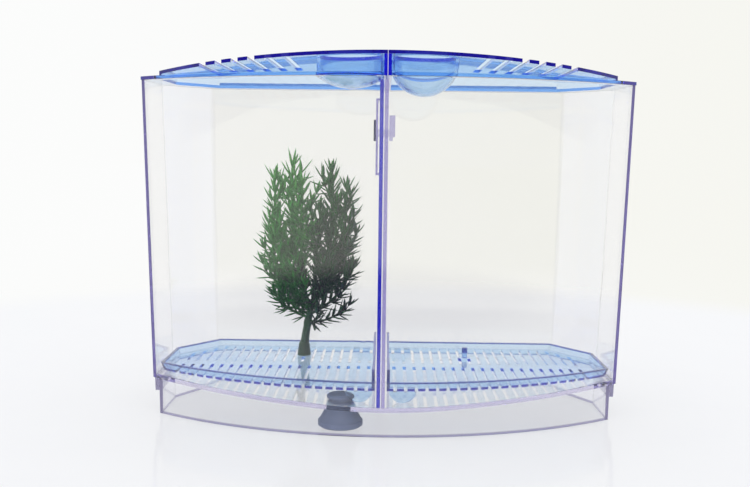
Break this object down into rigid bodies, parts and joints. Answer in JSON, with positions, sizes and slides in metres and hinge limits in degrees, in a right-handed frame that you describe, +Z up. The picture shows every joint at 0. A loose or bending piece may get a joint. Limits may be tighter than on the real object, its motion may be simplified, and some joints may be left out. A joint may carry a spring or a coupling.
{
  "type": "fish breeding box",
  "caption": "Clear bow-fronted tank on a stand, with slotted trays over a sloping floor, an upright divider with a small gate, arched vented lids and a plastic plant.",
  "frame": {"origin": "on the table under the middle of the box's bounding box", "axes": "+X along the width to the right, +Y from the bowed front to the flat back, +Z up"},
  "size_m": [0.2, 0.099, 0.1466],
  "materials": {
    "clear_plastic": "clear moulded polystyrene with violet-blue edges",
    "blue_plastic": "transparent blue moulded plastic, navy at its edges",
    "navy_plastic": "dark blue moulded plastic",
    "grey_rubber": "soft matt grey rubber",
    "stem_green": "soft green plastic",
    "light_leaf_green": "soft mid-green plastic leaves",
    "dark_leaf_green": "soft dark green plastic leaves"
  },
  "bodies": {
    "stand": {"stand_base": "clear_plastic"},
    "tank": {"tank_shell": "clear_plastic", "drain_plug": "grey_rubber"},
    "tray_left": {"tray_left": "blue_plastic"},
    "tray_right": {"tray_right": "blue_plastic"},
    "plant": {"plant_stem": "stem_green", "plant_sprig_tall": "light_leaf_green", "plant_sprig_dark": "dark_leaf_green", "plant_side_left": "light_leaf_green", "plant_side_right": "dark_leaf_green"},
    "divider": {"divider_blue": "blue_plastic", "divider_clear": "clear_plastic"},
    "gate": {"gate_plate": "clear_plastic", "gate_knob": "navy_plastic", "gate_catch": "clear_plastic"},
    "lid_left": {"lid_left": "blue_plastic"},
    "lid_right": {"lid_right": "blue_plastic"}
  },
  "joints": [
    {"name": "tank_lift", "type": "slide", "parent": "stand", "child": "tank", "axis": [0, 0, 1], "range_m": [0, 0.06]},
    {"name": "tray_left_lift", "type": "slide", "parent": "tank", "child": "tray_left", "axis": [0, 0, 1], "range_m": [0, 0.012]},
    {"name": "tray_right_lift", "type": "slide", "parent": "tank", "child": "tray_right", "axis": [0, 0, 1], "range_m": [0, 0.07]},
    {"name": "plant_lift", "type": "slide", "parent": "tray_left", "child": "plant", "axis": [0, 0, 1], "range_m": [0, 0.012]},
    {"name": "divider_lift", "type": "slide", "parent": "tank", "child": "divider", "axis": [0, 0, 1], "range_m": [0, 0.13]},
    {"name": "gate_slide", "type": "slide", "parent": "divider", "child": "gate", "axis": [0, 0, -1], "range_m": [0, 0.016]},
    {"name": "lid_left_lift", "type": "slide", "parent": "divider", "child": "lid_left", "axis": [0, 0, 1], "range_m": [0, 0.05]},
    {"name": "lid_right_lift", "type": "slide", "parent": "divider", "child": "lid_right", "axis": [0, 0, 1], "range_m": [0, 0.05]}
  ]
}
